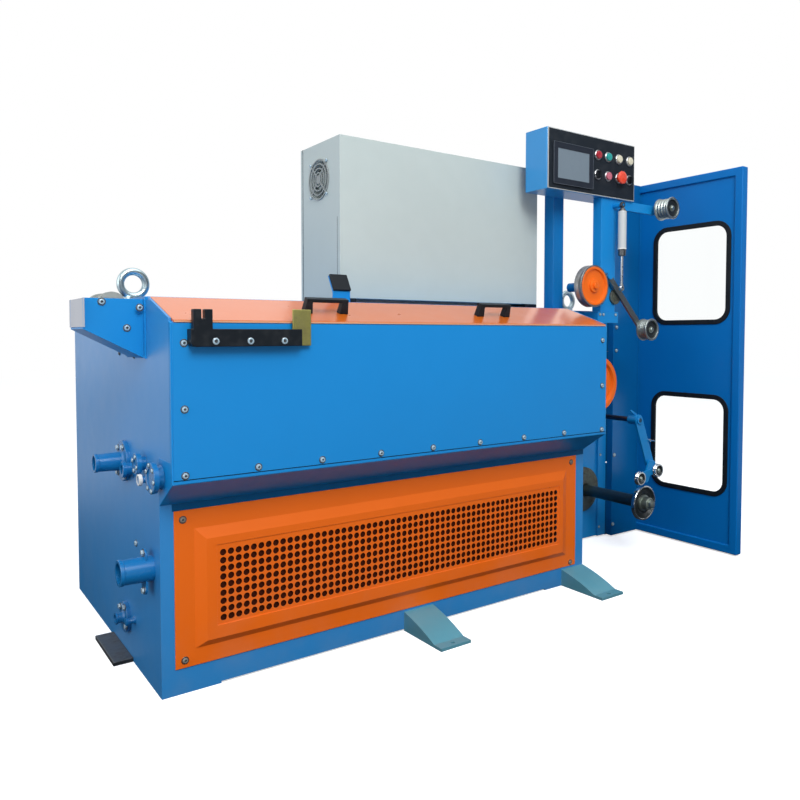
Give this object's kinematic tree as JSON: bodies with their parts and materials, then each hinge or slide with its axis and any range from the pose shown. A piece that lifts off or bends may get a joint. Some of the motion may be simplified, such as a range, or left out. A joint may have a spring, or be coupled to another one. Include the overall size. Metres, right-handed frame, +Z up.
{
  "type": "wire drawing machine",
  "caption": "Multi-wire drawing machine: blue housing with orange lid and vent cover, grey cabinet on top, console on columns, dancer, take-up spindle and side guard.",
  "frame": {"origin": "on the floor under the middle of the whole machine", "axes": "+X along the machine from wire inlet to take-up, +Y towards the back, +Z up"},
  "size_m": [2.431, 1.141, 1.633],
  "materials": {
    "blue_paint": "satin",
    "orange_paint": "satin",
    "grey_paint": "satin",
    "teal_paint": "satin",
    "black_plastic": "matt",
    "rubber": "matt",
    "dark_steel": "dull",
    "bright_steel": "bright",
    "brass": "satin",
    "glass": "clear",
    "screen": "gloss",
    "red_plastic": "gloss"
  },
  "bodies": {
    "frame": {"lower_housing": "blue_paint", "front_panel": "blue_paint", "end_plates": "blue_paint", "rear_housing": "blue_paint", "deck": "blue_paint", "lid_rest": "blue_paint", "inlet_bracket": "blue_paint", "takeup_frame": "blue_paint", "column_shelf": "blue_paint", "left_column": "blue_paint", "right_column": "blue_paint", "console_housing": "blue_paint", "upper_arm": "blue_paint", "guide_arbor": "blue_paint", "vent_cover": "orange_paint", "cabinet_body": "grey_paint", "cabinet_door": "grey_paint", "front_feet": "teal_paint", "guide_bar": "black_plastic", "console_fascia": "black_plastic", "screen_bezel": "black_plastic", "cabinet_feet": "black_plastic", "rest_pad": "rubber", "end_foot": "dark_steel", "column_brackets": "dark_steel", "shaft_bearings": "dark_steel", "traverse_rod": "dark_steel", "fixed_hinges": "bright_steel", "lifting_eyes": "bright_steel", "pipe_fittings": "bright_steel", "fan_guard": "bright_steel", "button_bezels": "bright_steel", "brass_plate": "brass", "screen_glass": "screen", "stop_button": "red_plastic", "push_buttons": "red_plastic"},
    "lid": {"lid": "orange_paint", "lid_handles": "black_plastic"},
    "guard": {"guard_return": "blue_paint", "guard_panel": "blue_paint", "window_seals": "rubber", "window_panes": "glass", "guard_knuckles": "bright_steel"},
    "sheaves": {"inlet_sheaves": "dark_steel"},
    "fan": {"fan_rotor": "dark_steel"},
    "wheel": {"guide_wheel": "orange_paint"},
    "dancer": {"dancer_arm": "dark_steel"},
    "dancer_pulley": {"dancer_roller": "bright_steel"},
    "damper": {"damper_cylinder": "bright_steel"},
    "plunger": {"damper_rod": "bright_steel"},
    "upper_pulley": {"upper_roller": "bright_steel"},
    "capstan": {"capstan_wheel": "orange_paint"},
    "spindle": {"spindle": "dark_steel"},
    "carriage": {"traverse_carriage": "blue_paint"},
    "upper_guide": {"upper_wire_roller": "bright_steel"},
    "lower_guide": {"lower_wire_roller": "bright_steel"}
  },
  "joints": [
    {"name": "lid_hinge", "type": "hinge", "parent": "frame", "child": "lid", "pos_m": [-0.3055, -0.3015, 0.99], "axis": [-1, 0, 0], "range_deg": [0, 138]},
    {"name": "guard_hinge", "type": "hinge", "parent": "frame", "child": "guard", "pos_m": [1.0055, -0.0445, 0.4925], "axis": [0, 0, 1], "range_deg": [0, 90]},
    {"name": "sheave_spin", "type": "hinge", "parent": "frame", "child": "sheaves", "pos_m": [-1.1455, -0.2075, 0.97], "axis": [0, 1, 0], "continuous": true},
    {"name": "fan_spin", "type": "hinge", "parent": "frame", "child": "fan", "pos_m": [-0.4155, -0.0445, 1.404], "axis": [1, 0, 0], "continuous": true},
    {"name": "wheel_spin", "type": "hinge", "parent": "frame", "child": "wheel", "pos_m": [0.5355, -0.353, 1.077], "axis": [0, 1, 0], "continuous": true},
    {"name": "dancer_swing", "type": "hinge", "parent": "frame", "child": "dancer", "pos_m": [0.6435, -0.3425, 1.12], "axis": [0, -1, 0], "range_deg": [-18, 18]},
    {"name": "dancer_pulley_spin", "type": "hinge", "parent": "dancer", "child": "dancer_pulley", "pos_m": [0.8485, -0.3675, 0.917], "axis": [0, 1, 0], "continuous": true},
    {"name": "damper_swing", "type": "hinge", "parent": "frame", "child": "damper", "pos_m": [0.68969, -0.3675, 1.39], "axis": [0, -1, 0], "range_deg": [-5, 5]},
    {"name": "plunger_slide", "type": "slide", "parent": "damper", "child": "plunger", "axis": [0, 0, 1], "range_m": [-0.026, 0.026]},
    {"name": "upper_pulley_spin", "type": "hinge", "parent": "frame", "child": "upper_pulley", "pos_m": [0.9495, -0.3775, 1.3982], "axis": [0, 1, 0], "continuous": true},
    {"name": "capstan_spin", "type": "hinge", "parent": "frame", "child": "capstan", "pos_m": [0.7115, -0.1875, 0.701], "axis": [0, 1, 0], "continuous": true},
    {"name": "spindle_spin", "type": "hinge", "parent": "frame", "child": "spindle", "pos_m": [0.8515, -0.1875, 0.226], "axis": [0, 1, 0], "continuous": true},
    {"name": "traverse_slide", "type": "slide", "parent": "frame", "child": "carriage", "axis": [0, 1, 0], "range_m": [0, 0.24]},
    {"name": "upper_guide_spin", "type": "hinge", "parent": "carriage", "child": "upper_guide", "pos_m": [0.8825, -0.4015, 0.36], "axis": [0, 1, 0], "continuous": true},
    {"name": "lower_guide_spin", "type": "hinge", "parent": "carriage", "child": "lower_guide", "pos_m": [0.7715, -0.4015, 0.34], "axis": [0, 1, 0], "continuous": true}
  ],
  "couplings": [
    {"joint": "damper_swing", "follows": "dancer_swing", "ratio": 0.1427},
    {"joint": "plunger_slide", "follows": "dancer_swing", "m_per_rad": 0.04571}
  ]
}
